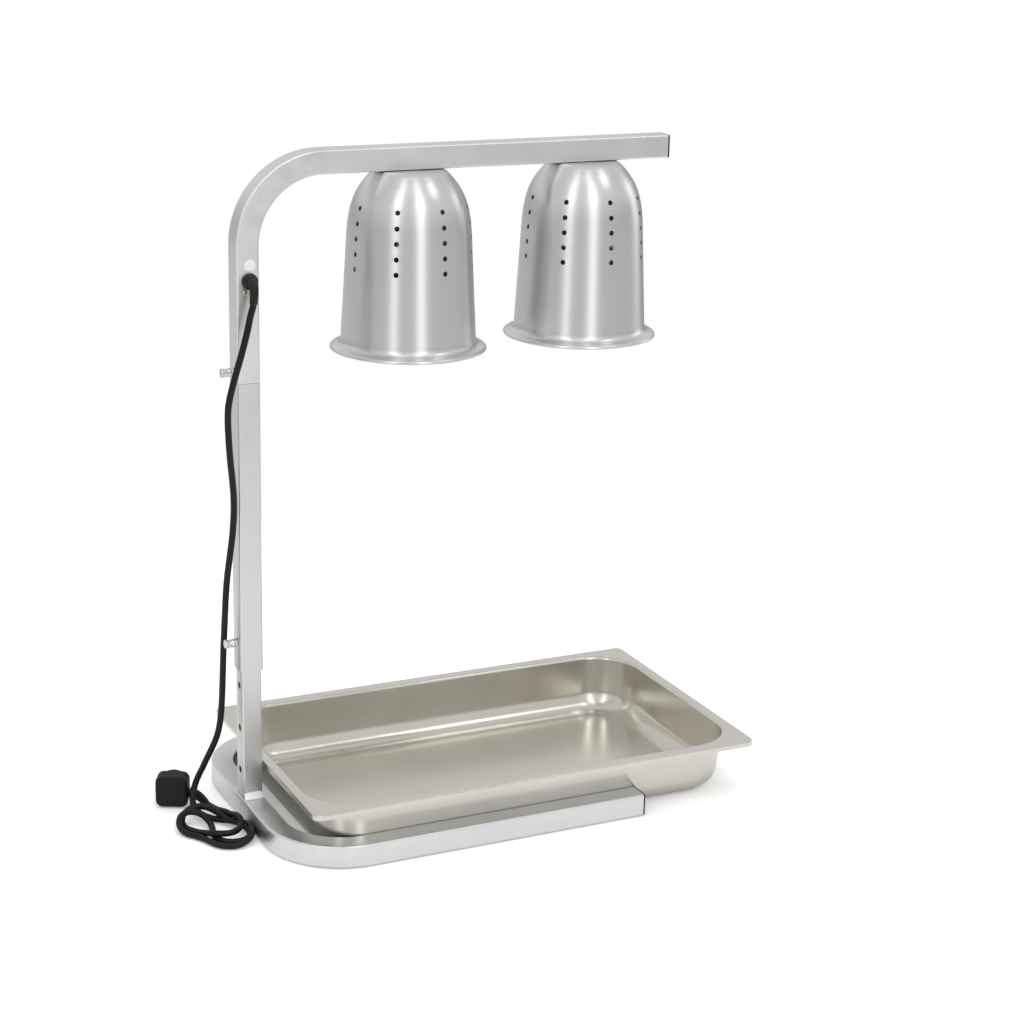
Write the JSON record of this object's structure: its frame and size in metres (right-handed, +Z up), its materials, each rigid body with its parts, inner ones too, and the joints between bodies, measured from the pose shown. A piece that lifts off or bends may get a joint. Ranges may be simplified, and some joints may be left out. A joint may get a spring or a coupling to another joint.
{
  "type": "heat lamp warmer",
  "caption": "Countertop food warmer: U-shaped tube base, telescopic square mast, gooseneck arm with hanging reflector lamps, and a gastronorm pan.",
  "frame": {"origin": "middle of the object's footprint on the table, without the cord and plug", "axes": "+X along the arm, from the mast towards the arm's free end; +Y to the side of the base's far arm; +Z up"},
  "size_m": [0.6337, 0.338, 0.728],
  "materials": {
    "tube": "satin",
    "end_cap": "matte",
    "pad": "matte",
    "zinc": "satin",
    "gland": "satin",
    "screw": "satin",
    "label": "satin",
    "pan": "satin",
    "cord": "satin",
    "plug": "matte",
    "shade": "spun, brushed",
    "ceramic": "glazed",
    "bulb_glass": "polished, inside silvered"
  },
  "bodies": {
    "base": {"base_frame": "tube", "base_end_cap_near": "end_cap", "base_end_cap_far": "end_cap", "foot_pad_near_end": "pad", "foot_pad_far_end": "pad", "foot_pad_near_bend": "pad", "foot_pad_far_bend": "pad", "lower_post": "tube", "post_weld_front": "tube", "post_weld_back": "tube", "cord_drop": "cord", "cord_hank": "cord", "cord_tail": "cord", "plug_body": "plug", "plug_relief": "plug", "plug_pin_a": "zinc", "plug_pin_b": "zinc"},
    "head": {"mast_sleeve": "tube", "spigot": "tube", "arm_tube": "tube", "arm_end_cap": "end_cap", "cable_gland": "gland", "strain_relief": "gland", "earth_screw": "screw", "marking_disc": "label", "plunger_bush_lower": "zinc", "plunger_bush_upper": "zinc", "shade_left": "shade", "nipple_left": "zinc", "nut_arm_left": "zinc", "nut_shade_left": "zinc", "socket_left": "ceramic", "bulb_cap_left": "zinc", "bulb_left": "bulb_glass", "shade_right": "shade", "nipple_right": "zinc", "nut_arm_right": "zinc", "nut_shade_right": "zinc", "socket_right": "ceramic", "bulb_cap_right": "zinc", "bulb_right": "bulb_glass"},
    "plunger_lower": {"plunger_knob_lower": "zinc"},
    "plunger_upper": {"plunger_knob_upper": "zinc"},
    "pan": {"gastronorm_pan": "pan"}
  },
  "joints": [
    {"name": "height_slide", "type": "slide", "parent": "base", "child": "head", "axis": [0, 0, 1], "range_m": [-0.14, 0], "deforming": ["cord_drop"]},
    {"name": "plunger_lower_pull", "type": "slide", "parent": "head", "child": "plunger_lower", "axis": [-1, 0, 0], "range_m": [0, 0.006], "stiffness_N_per_m": 600, "springref_m": -0.004},
    {"name": "plunger_upper_pull", "type": "slide", "parent": "head", "child": "plunger_upper", "axis": [-1, 0, 0], "range_m": [0, 0.006], "stiffness_N_per_m": 600, "springref_m": -0.004},
    {"name": "pan_lift", "type": "slide", "parent": "base", "child": "pan", "axis": [0, 0, 1], "range_m": [0, 0.12]}
  ]
}
